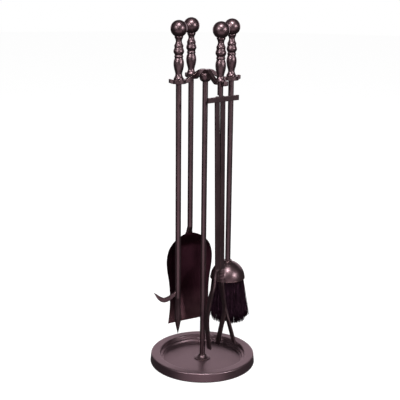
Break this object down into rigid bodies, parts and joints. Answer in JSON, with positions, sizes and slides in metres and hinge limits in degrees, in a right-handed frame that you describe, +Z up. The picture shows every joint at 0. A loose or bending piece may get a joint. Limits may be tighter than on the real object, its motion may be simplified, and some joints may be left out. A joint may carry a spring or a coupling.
{
  "type": "fireplace tool set",
  "caption": "Round tray stand with crossed hook bars carrying a poker, shovel, tongs and hearth brush, each with a turned ball handle.",
  "frame": {"origin": "on the ground under the centre of the post", "axes": "+Z up along the post, +X to the right of the front view, +Y away from the front"},
  "size_m": [0.235, 0.235, 0.762],
  "materials": {
    "cast_base": "satin bronze coat over cast iron",
    "bronze": "satin dark bronze powder coat",
    "pan_sheet": "dark bronze coat on pressed sheet",
    "bristle": "matt black-brown fibre",
    "block_wood": "raw turned block",
    "felt": "felt",
    "zinc_steel": "zinc plated"
  },
  "bodies": {
    "stand": {"base_tray": "cast_base", "base_pads": "felt", "base_washer": "zinc_steel", "base_screw": "zinc_steel", "foot_collar": "bronze", "post": "bronze", "bell_cup": "bronze", "hook_bar_front": "bronze", "hook_bar_cross": "bronze", "hub_screw": "zinc_steel"},
    "poker": {"poker_rod": "bronze", "poker_hook": "bronze", "poker_grip": "bronze", "poker_knob": "bronze"},
    "shovel": {"shovel_rod": "bronze", "shovel_pan": "pan_sheet", "shovel_grip": "bronze", "shovel_knob": "bronze"},
    "brush": {"brush_rod": "bronze", "brush_dome": "bronze", "brush_core": "block_wood", "brush_bristles": "bristle", "brush_grip": "bronze", "brush_knob": "bronze"},
    "tongs": {"tongs_rod": "bronze", "tongs_crossbar": "bronze", "tongs_rivet_left": "bronze", "tongs_rivet_right": "bronze", "tongs_grip": "bronze", "tongs_knob": "bronze"},
    "tongs_leg_left": {"tongs_leg_single": "bronze"},
    "tongs_leg_right": {"tongs_leg_fork": "bronze", "tongs_fork_prong": "bronze"}
  },
  "joints": [
    {"name": "poker_unhook", "type": "slide", "parent": "stand", "child": "poker", "axis": [-0.8441, 0.5072, 0.1736], "range_m": [0, 0.15]},
    {"name": "shovel_unhook", "type": "slide", "parent": "stand", "child": "shovel", "axis": [-0.8613, -0.4774, 0.1736], "range_m": [0, 0.17]},
    {"name": "brush_unhook", "type": "slide", "parent": "stand", "child": "brush", "axis": [0.1879, 0.9667, 0.1736], "range_m": [0, 0.17]},
    {"name": "tongs_unhook", "type": "slide", "parent": "stand", "child": "tongs", "axis": [-0.5789, -0.7967, 0.1736], "range_m": [0, 0.16]},
    {"name": "tongs_leg_left_pivot", "type": "hinge", "parent": "tongs", "child": "tongs_leg_left", "pos_m": [0.02462, -0.05965, 0.6065], "axis": [-0.6293, 0.7771, 0], "range_deg": [0, 20]},
    {"name": "tongs_leg_right_pivot", "type": "hinge", "parent": "tongs", "child": "tongs_leg_right", "pos_m": [0.03628, -0.05021, 0.6065], "axis": [0.6293, -0.7771, 0], "range_deg": [0, 8]}
  ]
}
